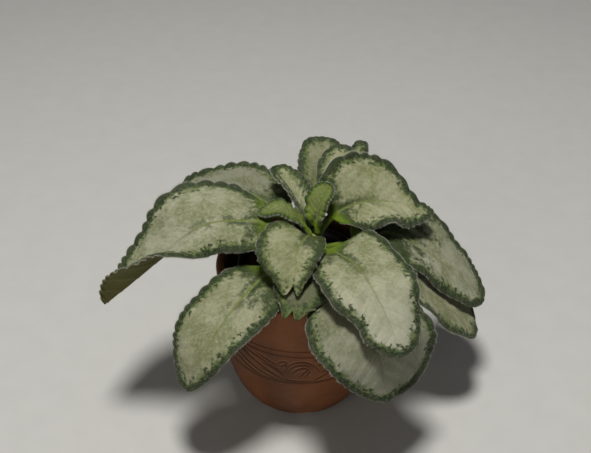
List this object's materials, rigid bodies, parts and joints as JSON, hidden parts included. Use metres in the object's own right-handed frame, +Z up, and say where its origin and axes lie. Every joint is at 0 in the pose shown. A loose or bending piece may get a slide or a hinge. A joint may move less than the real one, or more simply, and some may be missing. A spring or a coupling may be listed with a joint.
{
  "type": "potted primulina",
  "caption": "Rosette houseplant with silver-green, scallop-edged velvety leaves, rooted in a black nursery pot that stands inside a round unglazed clay pot with a carved band.",
  "frame": {"origin": "middle of the clay pot's flat foot, on the surface it stands on", "axes": "+Z up along the pot's axis, +X to the right of the plant's front, the front looks along -Y"},
  "size_m": [0.1957, 0.1359, 0.1244],
  "materials": {
    "clay": "unglazed red-brown fired clay, dry and finely grained, a little burnished on the lip and chalky at the foot",
    "black_plastic": "thin black moulded plastic, satin, dusty at the rim",
    "potting_mix": "dark moist peat with lighter bark and grit",
    "stem": "short green-brown stem, matt",
    "leaf": "velvety silver-green blade with a dark green mottled edge, pale fine hairs and a yellow-green stalk"
  },
  "bodies": {
    "root": {"clay_pot": "clay", "nursery_pot": "black_plastic", "potting_mix": "potting_mix", "stem": "stem", "leaf_front_right": "leaf", "leaf_front_right_low": "leaf", "leaf_front_left_low": "leaf", "leaf_left": "leaf", "leaf_back_left": "leaf", "leaf_back_right": "leaf", "leaf_right": "leaf", "leaf_right_low": "leaf", "leaf_centre_front": "leaf", "leaf_under_centre": "leaf", "leaf_back_high_left": "leaf", "leaf_back_high_mid": "leaf", "leaf_back_far_right": "leaf", "leaf_upright_left": "leaf", "leaf_inner_left": "leaf", "leaf_inner_upright": "leaf"}
  },
  "joints": []
}
